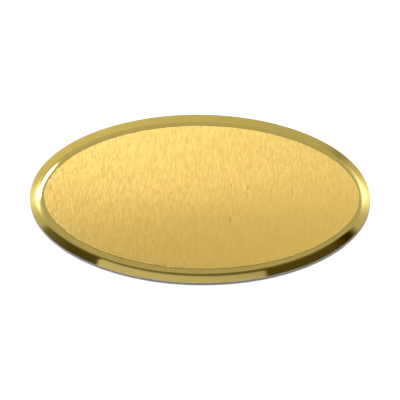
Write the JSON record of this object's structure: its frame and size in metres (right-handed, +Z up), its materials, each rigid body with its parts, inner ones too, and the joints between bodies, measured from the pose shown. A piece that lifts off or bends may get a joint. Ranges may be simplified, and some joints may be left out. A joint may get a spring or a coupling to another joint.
{
  "type": "oval name badge",
  "caption": "Blank oval name badge: polished gold-coloured metal frame with a bevelled rim, thin brushed name plate on its face, magnet bar on its back.",
  "frame": {"origin": "middle of the magnet bar's lower face, on which the badge lies on its back", "axes": "+Z up out of the badge's face; +X along its length, to the right as the badge is read; +Y to the top edge of the badge"},
  "size_m": [0.0762, 0.0382, 0.0035],
  "materials": {
    "polished_gold": "polished mirror-bright",
    "brushed_gold": "gold-coloured, brushed across the badge",
    "magnet_casing": "fine matte"
  },
  "bodies": {
    "root": {"frame": "polished_gold", "name_plate": "brushed_gold", "magnet_bar": "magnet_casing"}
  },
  "joints": []
}
